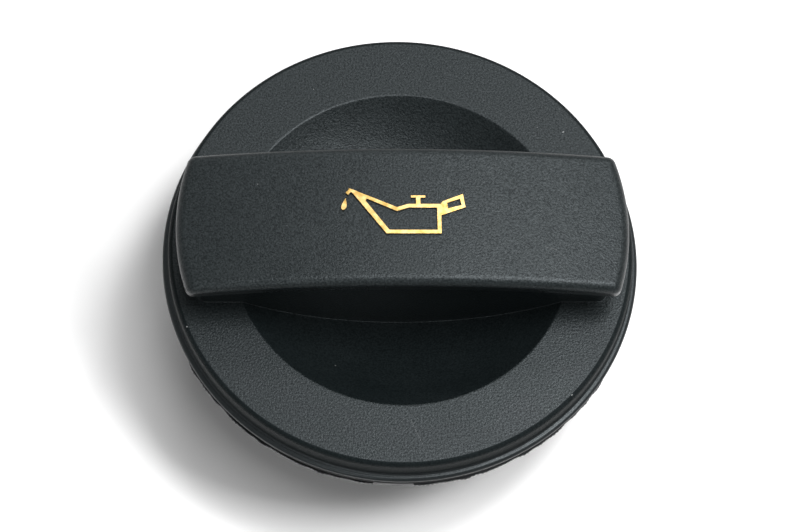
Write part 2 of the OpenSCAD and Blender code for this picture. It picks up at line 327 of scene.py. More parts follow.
def black_nylon():
    """Glass-filled nylon 66: deep black, a pebbled grain where the mould was spark-eroded."""
    material, tree = new_material("black_nylon_spark_eroded")
    coords = millimetres(tree)
    mask = add(tree, "ShaderNodeAttribute", attribute_name="grain").outputs["Fac"]
    pebbles = noise(tree, coords, 1 / GRAIN_SIZE, 3.0, 0.6)
    peaks = ramp(tree, pebbles, 0.35, 0.65)
    cloud = noise(tree, coords, CLOUDS_PER_MM, 3.0)

    # Dust: a few of the cells of a pattern have a speck in their middle
    dust = add(tree, "ShaderNodeTexVoronoi", {"Vector": coords, "Scale": 1 / SPECK_SPACING}).outputs
    speck = SPECK_SIZE / SPECK_SPACING
    small = ramp(tree, dust["Distance"], speck / 2, speck, 1.0, 0.0)
    number = add(tree, "ShaderNodeSeparateColor", {"Color": dust["Color"]}).outputs["Red"]
    chosen = maths(tree, "GREATER_THAN", number, 1 - SPECK_SHARE)
    marks = maths(tree, "MULTIPLY", maths(tree, "MULTIPLY", small, chosen), SPECK_STRENGTH)
    for start, end, width, strength in SCRATCHES:
        line = maths(tree, "MULTIPLY", scratch(tree, coords, start, end, width), strength)
        marks = maths(tree, "MAXIMUM", marks, line)

    plain = blend(tree, mask, "#0c0f10", blend(tree, peaks, "#080c0d", "#101516"))
    colour = blend(tree, marks, plain, "#b9bcbc")
    # The pits of the grain hide a part of the light that its peaks send back
    matt_and_shade = ramp(tree, mask, 1.0, MATT_SHADE_GRAIN)
    tint = blend(tree, mask, "#cfd8dc", blend(tree, peaks, "#a5acaf", "#f1fbff"))
    # On the matt shoulder and skirt the reflection is tinted darker: painted shade
    tint = blend(tree, matt_and_shade, tint, "#6b7274")
    roughness = ramp(tree, cloud, 0.3, 0.7, 0.24, 0.34)
    for share, rougher in ((mask, ramp(tree, cloud, 0.3, 0.7, 0.36, 0.43)), (matt_and_shade, MATT_ROUGHNESS)):
        mix = add(tree, "ShaderNodeMix", {"Factor": share, "A": roughness, "B": rougher})
        roughness = mix.outputs["Result"]
    show(tree, {
        "Base Color": colour, "Roughness": roughness, "IOR": NYLON_IOR,
        "Normal": bump(tree, pebbles, mask, GRAIN_DEPTH),
        "Specular IOR Level": SPECULAR_LEVEL, "Specular Tint": tint,
    })
    return material


cover_material = black_nylon()
print("grain of", GRAIN_SIZE, "mm,", len(SCRATCHES), "scratches")

# %% [markdown]
# ## The other finishes
#
# The lower moulding is the same nylon from an ordinary turned and milled mould, so it is satin with
# no grain. The seal is carbon-black rubber, which is matt and slightly bloomed. The sign is a
# hot-stamped foil: a gold-tinted lacquer over vapour-coated aluminium, pressed on with a heated
# die, so it is a real metal surface with slight wrinkles.

# %% Satin nylon, rubber and foil
RUBBER_IOR = 1.52


def satin_nylon():
    """Glass-filled nylon 66 from a plain mould: satin black with faint flow streaks."""
    material, tree = new_material("black_nylon_satin")
    coords = millimetres(tree)
    flow = noise(tree, coords, 0.5, 4.0)
    show(tree, {
        "Base Color": blend(tree, flow, "#131517", "#1e2123"),
        "Roughness": ramp(tree, flow, 0.3, 0.7, 0.34, 0.46), "IOR": NYLON_IOR,
        "Normal": bump(tree, noise(tree, coords, 6.0, 2.0), 0.4, 0.012),
    })
    return material


def black_rubber():
    """Nitrile rubber: carbon black, matt, with a light bloom."""
    material, tree = new_material("black_nitrile_rubber")
    coords = millimetres(tree)
    bloom = noise(tree, coords, 0.8, 5.0)
    show(tree, {
        "Base Color": blend(tree, ramp(tree, bloom, 0.4, 0.7), "#121314", "#202122"),
        "Roughness": ramp(tree, bloom, 0.3, 0.7, 0.62, 0.78), "IOR": RUBBER_IOR,
        "Normal": bump(tree, noise(tree, coords, 8.0, 2.0), 0.6, 0.02),
    })
    return material


def gold_foil():
    """Hot-stamped gold foil: tinted lacquer on aluminium, slightly wrinkled by the grain under it."""
    material, tree = new_material("gold_stamping_foil")
    coords = millimetres(tree)
    wrinkle = noise(tree, coords, 1.1, 3.0)
    show(tree, {
        "Base Color": blend(tree, ramp(tree, wrinkle, 0.35, 0.65), "#a98a4e", "#bea26e"),
        "Metallic": 1.0, "Roughness": ramp(tree, wrinkle, 0.3, 0.7, 0.32, 0.48),
        "Normal": bump(tree, noise(tree, coords, 4.0, 2.0), 0.5, 0.03),
    })
    return material


base_material, seal_material, foil_material = satin_nylon(), black_rubber(), gold_foil()
print("materials:", [m.name for m in (cover_material, base_material, seal_material, foil_material)])

# %% [markdown]
# ## Helpers for meshes
#
# All three mouldings are skins of rings: points in order round an outline, joined ring to ring by
# quads. A small class collects the rings in millimetres. When it becomes a mesh, points that meet
# are merged, and the faces are turned outwards.

# %% Skins made of rings
SEGMENTS = 240
MERGE = 0.002
SHARP_ANGLE = math.radians(38)


def open_edges(mesh):
    """How many edges of a mesh don't join exactly two faces."""
    work = bmesh.new()
    work.from_mesh(mesh)
    count = sum(not e.is_manifold for e in work.edges)
    work.free()
    return count


class Skin:
    """Points, faces and the grain at each point, in millimetres."""

    def __init__(self):
        self.points, self.faces, self.grain = [], [], []

    def ring(self, points, grain=0.0):
        """Adds a row of points and returns their numbers."""
        first = len(self.points)
        self.points += [tuple(p) for p in points]
        self.grain += [grain] * len(points)
        return list(range(first, len(self.points)))

    def bridge(self, one, two, closed=True):
        """Joins two rows of as many points by quads."""
        n = len(one)
        for i in range(n if closed else n - 1):
            j = (i + 1) % n
            self.faces.append((one[i], one[j], two[j], two[i]))

    def bridge_all(self, rows):
        """Joins each row to the next."""
        for one, two in zip(rows, rows[1:]):
            self.bridge(one, two)

    def build(self, name, material):
        """Makes the mesh object, with its points merged and its faces turned outwards."""
        mesh = bpy.data.meshes.new(name)
        mesh.from_pydata([Vector(p) * MM for p in self.points], [], self.faces)
        mesh.attributes.new("grain", "FLOAT", "POINT").data.foreach_set("value", self.grain)
        work = bmesh.new()
        work.from_mesh(mesh)
        bmesh.ops.remove_doubles(work, verts=work.verts, dist=MERGE * MM)
        bmesh.ops.recalc_face_normals(work, faces=work.faces)
        work.to_mesh(mesh)
        work.free()
        mesh.materials.append(material)
        piece = bpy.data.objects.new(name, mesh)
        bpy.context.scene.collection.objects.link(piece)
        print(f"{name}: {len(mesh.polygons)} faces, {open_edges(mesh)} open edges")
        return piece


def smooth(piece):
    """Shades a piece smooth, apart from its sharp edges."""
    piece.data.shade_smooth()
    piece.data.set_sharp_from_angle(angle=SHARP_ANGLE)


# %% Outlines that turn about the axis
def rounded(corners, steps=5):
    """Points of an outline in (radius, height), from corners given as (radius, height, rounding)."""
    points = []
    for i, (r, z, rounding) in enumerate(corners):
        here = Vector((r, z))
        if rounding == 0 or i in (0, len(corners) - 1):
            points.append(here)
            continue
        before = (Vector(corners[i - 1][:2]) - here).normalized()
        after = (Vector(corners[i + 1][:2]) - here).normalized()
        half = before.angle(after) / 2
        centre = here + (before + after).normalized() * rounding / math.sin(half)
        start = here + before * rounding / math.tan(half) - centre
        end = here + after * rounding / math.tan(half) - centre
        turn = math.pi - 2 * half
        for k in range(steps + 1):
            a = turn * k / steps
            points.append(centre + (start * math.sin(turn - a) + end * math.sin(a)) / math.sin(turn))
    return points


def circle(r, z, segments=SEGMENTS):
    """Points of a level circle about the axis."""
    turns = (2 * math.pi * i / segments for i in range(segments))
    return [(r * math.cos(a), r * math.sin(a), z) for a in turns]


def bowl(r, centre_z, from_r, to_r, steps=16):
    """Part of a sphere's outline under its centre, from one radius to another."""
    radii = (from_r + (to_r - from_r) * k / steps for k in range(steps + 1))
    return [(x, centre_z - math.sqrt(r * r - x * x), 0) for x in radii]


print("a right angle rounded by 1 mm:", [tuple(round(v, 2) for v in p)
                                         for p in rounded([(0, 0, 0), (5, 0, 1), (5, 5, 0)], 2)])

# %% [markdown]
# ## Helpers for modifiers
#
# Two kinds of tool change a finished mesh here. A Boolean joins or cuts closed shapes, as a
# moulder's mould does. A Geometry Nodes tree repeats a shape or lays it on a surface, and shows its
# sizes as named inputs. Both are turned to a plain mesh at once, which keeps the pieces simple.

# %% Booleans and trees
def apply_modifiers(piece):
    """Turns a piece with modifiers into a plain mesh."""
    graph = bpy.context.evaluated_depsgraph_get()
    mesh = bpy.data.meshes.new_from_object(
        piece.evaluated_get(graph), preserve_all_data_layers=True, depsgraph=graph)
    piece.modifiers.clear()
    piece.data = mesh


def combine(piece, other, operation):
    """Joins another closed shape to a piece, or cuts it out of it."""
    cut = piece.modifiers.new("combine", "BOOLEAN")
    cut.operation = operation
    cut.solver = "EXACT"
    cut.object = other
    apply_modifiers(piece)
    bpy.data.objects.remove(other)
    print(f"{piece.name} after {operation.lower()}:", len(piece.data.polygons), "faces,",
          open_edges(piece.data), "open edges")


def new_tree(name, inputs):
    """A Geometry Nodes tree with named inputs, given as {name: socket type}."""
    tree = bpy.data.node_groups.new(name, "GeometryNodeTree")
    tree.interface.new_socket("Geometry", in_out="INPUT", socket_type="NodeSocketGeometry")
    for label, kind in inputs.items():
        tree.interface.new_socket(label, in_out="INPUT", socket_type=kind)
    tree.interface.new_socket("Geometry", in_out="OUTPUT", socket_type="NodeSocketGeometry")
    return tree, add(tree, "NodeGroupInput").outputs


def run_tree(piece, tree, values):
    """Runs a tree on a piece with the given inputs, and keeps the result as its mesh."""
    modifier = piece.modifiers.new(tree.name, "NODES")
    modifier.node_group = tree
    for item in tree.interface.items_tree:
        if item.in_out == "INPUT" and item.name in values:
            modifier[item.identifier] = values[item.name]
    apply_modifiers(piece)
    print(f"{piece.name} after {tree.name}: {len(piece.data.polygons)} faces")


# %% [markdown]
# ## Cover: the face that shows from above
#
# Seen from above, the cover is a disc with a ball-shaped dish, a rounded rim round it, and the web
# of the grip rising out of both. The web's outline doesn't follow the disc's circles, so a grid
# can't fit both. Instead, points on circles and points on the web's outline go to a Delaunay
# triangulation, which joins them to well-shaped triangles, and each point is then lifted to the
# height of the surface there.

# %% Height of the cover's upper face
rim_centre_r = math.sqrt((ball_r + DISH_EDGE) ** 2 - (ball_z - top_z + DISH_EDGE) ** 2)
rim_start_r = rim_centre_r * ball_r / (ball_r + DISH_EDGE)


def surface_z(r):
    """Height at a radius: the dish, its rounded rim, then the flat top."""
    if r < rim_start_r:
        return ball_z - math.sqrt(ball_r ** 2 - r ** 2)
    if r < rim_centre_r:
        return top_z - DISH_EDGE + math.sqrt(DISH_EDGE ** 2 - (rim_centre_r - r) ** 2)
    return top_z


def crown(x, drop=0.0):
    """Height of the crowned grip at x, a given depth under its upper face."""
    return peak_z - drop - crown_r + math.sqrt(crown_r ** 2 - x ** 2)


print(f"dish: a ball of radius {ball_r:.1f}, deepest at {surface_z(0):.2f}, rim from {rim_start_r:.2f}")

# %% Outline of the grip
END_STEPS, CORNER_STEPS, LONG_STEPS = 18, 8, 96


def outline(inset, corner):
    """The grip's outline moved in by inset: long straight sides, and ends concentric with the disc."""
    end_r, half_w = GRIP_LEN / 2 - inset, GRIP_W / 2 - inset
    corner = max(corner, LEAST_CORNER)
    y = half_w - corner
    x = math.sqrt((end_r - corner) ** 2 - y ** 2)
    turn = math.atan2(y, x)
    end = [(end_r * math.cos(turn * k / END_STEPS), end_r * math.sin(turn * k / END_STEPS))
           for k in range(END_STEPS)]
    bends = (turn + (math.pi / 2 - turn) * k / CORNER_STEPS for k in range(CORNER_STEPS))
    bend = [(x + corner * math.cos(a), y + corner * math.sin(a)) for a in bends]
    side = [(x * (1 - k / LONG_STEPS), half_w) for k in range(LONG_STEPS)]
    quarter = end + bend + side
    back_again = quarter[:0:-1]
    return (
        quarter + [(0, half_w)] + [(-a, b) for a, b in back_again]
        + [(-a, -b) for a, b in quarter] + [(0, -half_w)] + [(a, -b) for a, b in back_again]
    )


grip_points = len(outline(0, GRIP_CORNER))
print("points round the grip:", grip_points)

# %% Disc with a hole for the web
disc_r = skirt_r - SHOULDER - 0.1
foot = outline(OVERHANG - WEB_FILLET, WEB_CORNER + WEB_FILLET)
wall = outline(OVERHANG, WEB_CORNER)
FOOT_CLEAR = 0.25
FIRST_CIRCLE = 9.4
DISH_STEP = 1.2
FLAT_STEP = 1.1
RIM_STEPS = 8


def spread(low, high, step):
    """Evenly spaced values from low to high, about a step apart."""
    count = max(1, round((high - low) / step))
    return [low + (high - low) * k / count for k in range(count + 1)]


def in_web(x, y):
    """Is a point inside the web's foot, or too close to it?"""
    grown = WEB_FILLET - OVERHANG + FOOT_CLEAR
    return abs(y) < GRIP_W / 2 + grown and math.hypot(x, y) < GRIP_LEN / 2 + grown


rim_angles = (math.pi / 2 * k / RIM_STEPS for k in range(RIM_STEPS + 1))
rim_radii = [rim_centre_r - DISH_EDGE * math.cos(a) for a in rim_angles]
radii = (
    spread(FIRST_CIRCLE, rim_start_r - 0.12, DISH_STEP)
    + [r for r in rim_radii if r > rim_start_r + 0.02]
    + [rim_start_r]
    + spread(rim_centre_r + 0.15, disc_r, FLAT_STEP)
)
grid = [(x, y) for r in sorted(radii) for x, y, _ in circle(r, 0) if not in_web(x, y)]
foot_edges = [(i, (i + 1) % len(foot)) for i in range(len(foot))]
plan, _, triangles, sources, _, _ = delaunay_2d_cdt(
    [Vector(p) for p in foot + grid], foot_edges, [], 0, 1e-6)
on_foot = [any(s < len(foot) for s in source) for source in sources]

cover_skin = Skin()
disc = cover_skin.ring([(p.x, p.y, surface_z(p.length)) for p in plan], 1.0)
cover_skin.faces += [tuple(t) for t in triangles if not all(on_foot[i] for i in t)]
print(f"disc: {len(radii)} circles, {len(cover_skin.faces)} triangles")

# %% [markdown]
# ## Cover: web and grip plate
#
# From the disc upwards the same outline is drawn again and again: a small fillet at the foot, the
# web's wall, a fillet under the overhang, then the plate's under side, its crisp lower edge, its
# straight side and its rounded upper edge. Two extra rings beside each bend keep the shading of
# the flat faces flat.

# %% Web and plate
FILLET_STEPS = 5
EDGE_STEPS = 12
BESIDE = 0.3


def bent(a, b, c, t):
    """A point on the smooth bend that leaves a towards b and reaches c from b."""
    return a * (1 - t) ** 2 + b * 2 * t * (1 - t) + c * t ** 2


def level_ring(points, drop):
    """A ring of the grip, a given depth under its crowned upper face."""
    return [(x, y, crown(x, drop)) for x, y in points]


rows = []
for k in range(FILLET_STEPS + 1):
    t = k / FILLET_STEPS
    ring = []
    for f, w in zip(foot, wall):
        wall_z = surface_z(math.hypot(*w))
        ring.append(bent(Vector((*f, surface_z(math.hypot(*f)))), Vector((*w, wall_z)),
                         Vector((*w, wall_z + WEB_FILLET)), t))
    rows.append(cover_skin.ring(ring, 1.0))
above_foot = WEB_FILLET + BESIDE
rows.append(cover_skin.ring([(x, y, surface_z(math.hypot(x, y)) + above_foot) for x, y in wall], 1.0))
rows.append(cover_skin.ring(level_ring(wall, GRIP_T + above_foot), 1.0))
for k in range(FILLET_STEPS + 1):
    t = k / FILLET_STEPS
    rows.append(cover_skin.ring([
        bent(Vector((*w, crown(w[0], GRIP_T + WEB_FILLET))), Vector((*w, crown(w[0], GRIP_T))),
             Vector((*f, crown(f[0], GRIP_T))), t)
        for f, w in zip(foot, wall)]))
rows.append(cover_skin.ring(level_ring(
    outline(GRIP_LOW_EDGE + BESIDE, GRIP_CORNER - GRIP_LOW_EDGE), GRIP_T)))
for k in range(FILLET_STEPS + 1):
    a = math.pi / 2 * k / FILLET_STEPS
    inset = GRIP_LOW_EDGE * (1 - math.sin(a))
    rows.append(cover_skin.ring(level_ring(
        outline(inset, GRIP_CORNER - inset), GRIP_T - GRIP_LOW_EDGE * (1 - math.cos(a)))))
for k in range(EDGE_STEPS + 1):
    a = math.pi / 2 * k / EDGE_STEPS
    inset = GRIP_EDGE * (1 - math.cos(a))
    rows.append(cover_skin.ring(level_ring(
        outline(inset, GRIP_CORNER - inset), GRIP_EDGE * (1 - math.sin(a))), 1.0 if k else 0.0))
rows.append(cover_skin.ring(level_ring(
    outline(GRIP_EDGE + BESIDE, GRIP_CORNER - GRIP_EDGE), 0), 1.0))
cover_skin.bridge_all(rows)
print("rings of the web and the plate:", len(rows))

# %% Top of the plate
ACROSS = 8
last = rows[-1]
half_turn = grip_points // 2
columns = []
for i in range(1, half_turn):
    x, y, z = cover_skin.points[last[i]]
    inner = cover_skin.ring([(x, y * (1 - 2 * k / ACROSS), z) for k in range(1, ACROSS)], 1.0)
    columns.append([last[i], *inner, last[-i]])
for one, two in zip(columns, columns[1:]):
    cover_skin.bridge(one, two, closed=False)
for tip, column in ((last[0], columns[0]), (last[half_turn], columns[-1])):
    cover_skin.faces += [(tip, a, b) for a, b in zip(column, column[1:])]
print("columns across the plate:", len(columns))

# %% [markdown]
# ## Cover: flange, under side and hollow
#
# The flange is a turned outline: shoulder, skirt, the round bead of the lip, and the inside with
# its weld rib. The web is hollow, as every thick moulded form is, because plastic this thick would
# sink as it cools. Its cells are cut out from below with a Boolean, and ribs stay between them.

# %% Flange and under side
LIP_GRAIN = 0.4
under_ball_r = ball_r + SHELL_WALL
weld_in, weld_out = weld_r - WELD_W / 2, weld_r + WELD_W / 2
flange = rounded([
    (disc_r, top_z, 0),
    (skirt_r, top_z, SHOULDER),
    (skirt_r, lip_z, LIP_FILLET),
    (lip_r, lip_z, LIP_T / 2),
    (lip_r, lip_z - LIP_T, LIP_T / 2 - 0.001),
    (skirt_r, lip_z - LIP_T, 0.15),
    (skirt_r, skirt_z, 0.15),
    (skirt_r - SHELL_WALL, skirt_z, 0.15),
    (skirt_r - SHELL_WALL, under_z, 0.3),
    (weld_out, under_z, 0.3),
    (weld_out, skirt_z, 0.15),
    (weld_in, skirt_z, 0.15),
    *bowl(under_ball_r, ball_z, weld_in, 0.0),
], steps=8)


def flange_grain(r, z):
    """Matt grain with a painted shade on the shoulder and the skirt, a faint one on the lip's bead, and none
    elsewhere.
    """
    if r < skirt_r - SHOULDER - 0.2 or z < lip_z - LIP_T:
        return 0.0
    if z > top_z - 0.01:
        return 1.0
    return MATT_SHADE_GRAIN if z > lip_z + LIP_FILLET else LIP_GRAIN


cover_skin.bridge_all([cover_skin.ring(circle(p.x, p.y), flange_grain(p.x, p.y)) for p in flange])
cover = cover_skin.build("cap_cover", cover_material)

# %% Cells of the hollow web
WEB_RIBS = 3
WEB_RIB_T = 1.6
CELL_FLOOR = 12.0
CELL_STEPS = 8
hollow_inset = OVERHANG + WEB_WALL
cell_end_r = GRIP_LEN / 2 - hollow_inset
cell_half_w = GRIP_W / 2 - hollow_inset
rib_pitch = (GRIP_LEN - 2 * hollow_inset) / (WEB_RIBS + 1)


def cell(skin, left, right):
    """Adds a closed block between two curves, given as x for each y, up to the plate's under side."""
    grids = []
    for is_top in (False, True):
        grid = []
        for j in range(CELL_STEPS + 1):
            y = cell_half_w * (2 * j / CELL_STEPS - 1)
            xs = [left(y) + (right(y) - left(y)) * k / CELL_STEPS for k in range(CELL_STEPS + 1)]
            grid.append(skin.ring([(x, y, crown(x, GRIP_T) if is_top else CELL_FLOOR) for x in xs]))
        for one, two in zip(grid, grid[1:]):
            skin.bridge(one, two, closed=False)
        grids.append(grid)
    low, high = grids
    for pick in (lambda g: g[0], lambda g: g[-1], lambda g: [row[0] for row in g],
                 lambda g: [row[-1] for row in g]):
        skin.bridge(pick(low), pick(high), closed=False)


cell_skin = Skin()
for side in (-1, 1):
    inner = WEB_RIB_T / 2
    for left, right in (
        (lambda y: inner, lambda y: rib_pitch - inner),
        (lambda y: rib_pitch + inner, lambda y: math.sqrt(weld_in ** 2 - y ** 2)),
        (lambda y: math.sqrt(weld_out ** 2 - y ** 2), lambda y: math.sqrt(cell_end_r ** 2 - y ** 2)),
    ):
        cell(cell_skin, lambda y: side * left(y), lambda y: side * right(y))
cells = cell_skin.build("cells", cover_material)
combine(cover, cells, "DIFFERENCE")
smooth(cover)

# %% [markdown]
# ## Neck base
#
# The lower moulding closes the cover from below and carries the neck. Its section is one turned
# outline. The ribs of its rim and its two lugs repeat round the axis, so each is modelled once, and
# a Geometry Nodes tree sets the copies round.

# %% Turned body of the base
neck_bore_r = NECK_R - NECK_WALL
nose_r = NECK_R - NOSE_STEP
rim_z = plate_z - RIM_H
dome_r = nest_r + PLATE_T
base_outline = rounded([
    *bowl(dome_r, ball_z, 0.0, neck_bore_r),
    (neck_bore_r, 0, 0.3),
    (nose_r - NOSE_CHAMFER, 0, 0.15),
    (nose_r, NOSE_CHAMFER, 0.3),
    (nose_r, NOSE_LEN - 2 * NOSE_STEP, 0.1),
    (NECK_R, NOSE_LEN - NOSE_STEP, 0.1),
    (NECK_R, plate_z, 0.3),
    (channel_r, plate_z, 0.2),
    (channel_r, rim_z, 0.2),
    (channel_r + RIM_WALL, rim_z, 0.2),
    (channel_r + RIM_WALL, plate_z, 0.3),
    (rim_r - RIM_WALL, plate_z, 0.3),
    (rim_r - RIM_WALL, rim_z, 0.2),
    (rim_r, rim_z, 0.2),
    (rim_r, skirt_z - EDGE_T, 0.2),
    (edge_r, skirt_z - EDGE_T, 0.12),
    (edge_r, skirt_z, 0.12),
    (locating_r, skirt_z, 0),
    (locating_r, base_high.z, 0.15),
    (locating_r - LOCATING_W, base_high.z, 0.15),
    (locating_r - LOCATING_W, skirt_z, 0),
    *bowl(nest_r, ball_z, nest_edge_r, 0.0),
])
# A prime number, so that no upright edge of the neck lies in a side face of a lug or a rib
BASE_SEGMENTS = 251
base_skin = Skin()
base_skin.bridge_all([base_skin.ring(circle(p.x, p.y, BASE_SEGMENTS)) for p in base_outline])
base = base_skin.build("cap_neck_base", base_material)

# %% One rib and one lug
ROUND_OFF = 0.12
BITE = 0.4


def round_off(piece, width):
    """Rounds every sharp edge of a simple shape."""
    bevel = piece.modifiers.new("round_off", "BEVEL")
    bevel.width = width * MM
    bevel.segments = 2
    bevel.limit_method = "ANGLE"
    apply_modifiers(piece)


rib_in, rib_out = channel_r + RIM_WALL - BITE, rim_r - RIM_WALL + BITE
rib_low, rib_high = rim_z + RIM_RIB_STEP, plate_z + BITE
rib_skin = Skin()
rib_side = [(rib_in, rib_low), (rib_out, rib_low), (rib_out, rib_high), (rib_in, rib_high)]
rib_skin.bridge_all([
    rib_skin.ring([(x, y, z) for x, z in rib_side]) for y in (RIM_RIB_T / 2, -RIM_RIB_T / 2)])
rib_skin.faces += [(0, 1, 2, 3), (4, 5, 6, 7)]
rib = rib_skin.build("rib", base_material)
round_off(rib, ROUND_OFF)

lug_top = NOSE_LEN + LUG_T
lug_r = NECK_R + LUG_OUT
stop_top = seal_low.z - STOP_GAP
ramp_slope = RAMP_RISE / ((NECK_R + LUG_OUT / 2) * math.radians(RAMP_ANGLE))
ramp_end = RAMP_ANGLE - LUG_ANGLE / 2
stop_start = LUG_ANGLE / 2 - STOP_ANGLE


def lug_section(angle, is_stop):
    """Section of a lug at an angle in degrees: its ramp rises to the flat, and the stop ends it."""
    lug_in = NECK_R - BITE
    rise = math.sin(math.radians(ramp_end - angle)) * ramp_slope
    top_out, top_in = (lug_top - max(0.0, r * rise) for r in (lug_r, lug_in))
    points = [
        (lug_in, NOSE_LEN), (lug_r - LUG_CHAMFER, NOSE_LEN), (lug_r, NOSE_LEN + LUG_CHAMFER),
        (lug_r, top_out), (lug_r, stop_top if is_stop else top_out),
        (lug_in, stop_top if is_stop else top_in), (lug_in, top_in),
    ]
    a = math.radians(angle)
    return [(r * math.cos(a), r * math.sin(a), z) for r, z in points]


lug_skin = Skin()
sections = [(a, False) for a in spread(-LUG_ANGLE / 2, ramp_end, 3)]
sections += [(a, False) for a in spread(ramp_end, stop_start, 3)[1:]]
sections += [(a, True) for a in spread(stop_start, LUG_ANGLE / 2, 2)]
lug_rows = [lug_skin.ring(lug_section(a, is_stop)) for a, is_stop in sections]
lug_skin.bridge_all(lug_rows)
lug_skin.faces += [tuple(lug_rows[0]), tuple(lug_rows[-1])]
lug = lug_skin.build("lug", base_material)
round_off(lug, ROUND_OFF)

# %% Copies round the axis
def around_axis():
    """A tree that turns copies of its shape about the axis."""
    tree, given = new_tree("around_axis", {
        "Count": "NodeSocketInt", "First angle": "NodeSocketFloat", "Material": "NodeSocketMaterial",
    })
    points = add(tree, "GeometryNodePoints", {"Count": given["Count"]}).outputs[0]
    step = maths(tree, "DIVIDE", 2 * math.pi, given["Count"])
    number = add(tree, "GeometryNodeInputIndex").outputs[0]
    angle = maths(tree, "ADD", maths(tree, "MULTIPLY", number, step), given["First angle"])
    turn = add(tree, "ShaderNodeCombineXYZ", {"Z": angle}).outputs[0]
    copies = add(tree, "GeometryNodeInstanceOnPoints", {
        "Points": points, "Instance": given["Geometry"], "Rotation": turn,
    }).outputs[0]
    real = add(tree, "GeometryNodeRealizeInstances", {"Geometry": copies}).outputs[0]
    done = add(tree, "GeometryNodeSetMaterial", {"Geometry": real, "Material": given["Material"]}).outputs[0]
    add(tree, "NodeGroupOutput", {"Geometry": done})
    return tree


turned_copies = around_axis()
run_tree(rib, turned_copies, {
    "Count": RIM_RIBS, "First angle": math.pi / RIM_RIBS, "Material": base_material})
run_tree(lug, turned_copies, {"Count": 2, "First angle": 0.0, "Material": base_material})
combine(base, rib, "UNION")
combine(base, lug, "UNION")

# %% [markdown]
# ## Weld flash
#
# The two mouldings are welded, and the weld squeezed out a thin ragged fin round the edge under the
# lip. It shows in the photograph as a torn black line with gaps where it broke off. A tree sweeps a
# flat section round the edge, and then moves its outer points by a width that was written on the
# path point by point.

# %% Flash round the edge
FLASH_STEPS = 1440
FLASH_TEETH = 0.14


def flash_width(turn):
    """Width of the flash at an angle in degrees: uneven, and inside the edge where it broke off."""
    def wave(times, shift):
        return math.sin(math.radians(times * turn + shift))

    if wave(7, 20) * wave(3, 0) > 0.8:
        return -BITE / 2
    slow = 1 + 0.2 * wave(19, 40) + 0.15 * wave(43, 100) + 0.15 * wave(71, 0)
    torn = wave(131, 15) * wave(223, 60) + 0.6 * wave(307, 0) * wave(17, 30)
    return FLASH_OUT * slow * (1 + FLASH_TEETH * torn)


def sweep_flash():
    """A tree that sweeps a flat section round a path and tears its outer edge."""
    tree, given = new_tree("sweep_flash", {
        "Radius": "NodeSocketFloat", "Thickness": "NodeSocketFloat", "Depth": "NodeSocketFloat",
        "Material": "NodeSocketMaterial",
    })
    path = add(tree, "GeometryNodeMeshToCurve", {"Mesh": given["Geometry"]}).outputs[0]
    path = add(tree, "GeometryNodeSetCurveNormal", {"Curve": path}, mode="Z_UP").outputs[0]
    section = add(tree, "GeometryNodeCurvePrimitiveQuadrilateral", {
        "Width": given["Depth"], "Height": given["Thickness"]}).outputs[0]
    swept = add(tree, "GeometryNodeCurveToMesh", {"Curve": path, "Profile Curve": section}).outputs[0]
    width = add(tree, "GeometryNodeInputNamedAttribute", {"Name": "width"}, data_type="FLOAT")
    width = width.outputs["Attribute"]
    split = add(tree, "ShaderNodeSeparateXYZ", {0: add(tree, "GeometryNodeInputPosition").outputs[0]})
    flat = add(tree, "ShaderNodeCombineXYZ", {"X": split.outputs["X"], "Y": split.outputs["Y"]}).outputs[0]
    away = add(tree, "ShaderNodeVectorMath", {0: flat}, operation="LENGTH").outputs["Value"]
    outward = add(tree, "ShaderNodeVectorMath", {0: flat}, operation="NORMALIZE").outputs[0]
    shift = add(tree, "ShaderNodeVectorMath", {0: outward, "Scale": width}, operation="SCALE").outputs[0]
    torn = add(tree, "GeometryNodeSetPosition", {
        "Geometry": swept, "Selection": maths(tree, "GREATER_THAN", away, given["Radius"]), "Offset": shift,
    }).outputs[0]
    real = add(tree, "GeometryNodeRealizeInstances", {"Geometry": torn}).outputs[0]
    done = add(tree, "GeometryNodeSetMaterial", {"Geometry": real, "Material": given["Material"]}).outputs[0]
    add(tree, "NodeGroupOutput", {"Geometry": done})
    return tree


FLASH_DEPTH = 0.5
FLASH_DROP = 0.05
path_r = edge_r - FLASH_DEPTH / 2
path_z = skirt_z - FLASH_T / 2 - FLASH_DROP
path_points = [Vector(p) * MM for p in circle(path_r, path_z, FLASH_STEPS)]
path_mesh = bpy.data.meshes.new("flash")
path_mesh.from_pydata(path_points, [(i, (i + 1) % FLASH_STEPS) for i in range(FLASH_STEPS)], [])
widths = [flash_width(360 * i / FLASH_STEPS) * MM for i in range(FLASH_STEPS)]
path_mesh.attributes.new("width", "FLOAT", "POINT").data.foreach_set("value", widths)
flash = bpy.data.objects.new("flash", path_mesh)
bpy.context.scene.collection.objects.link(flash)
run_tree(flash, sweep_flash(), {
    "Radius": path_r * MM, "Thickness": (FLASH_T - FLASH_DROP) * MM, "Depth": FLASH_DEPTH * MM,
    "Material": base_material})
combine(base, flash, "UNION")
smooth(base)
print(f"flash from {min(widths) / MM:.2f} to {max(widths) / MM:.2f} mm wide")

# %% [markdown]
# ## Sealing ring
#
# The ring is moulded rubber with two grooves in its sealing face, so that three narrow bands press
# on the filler neck in place of one wide one. It is a turned outline again, this time a closed one.

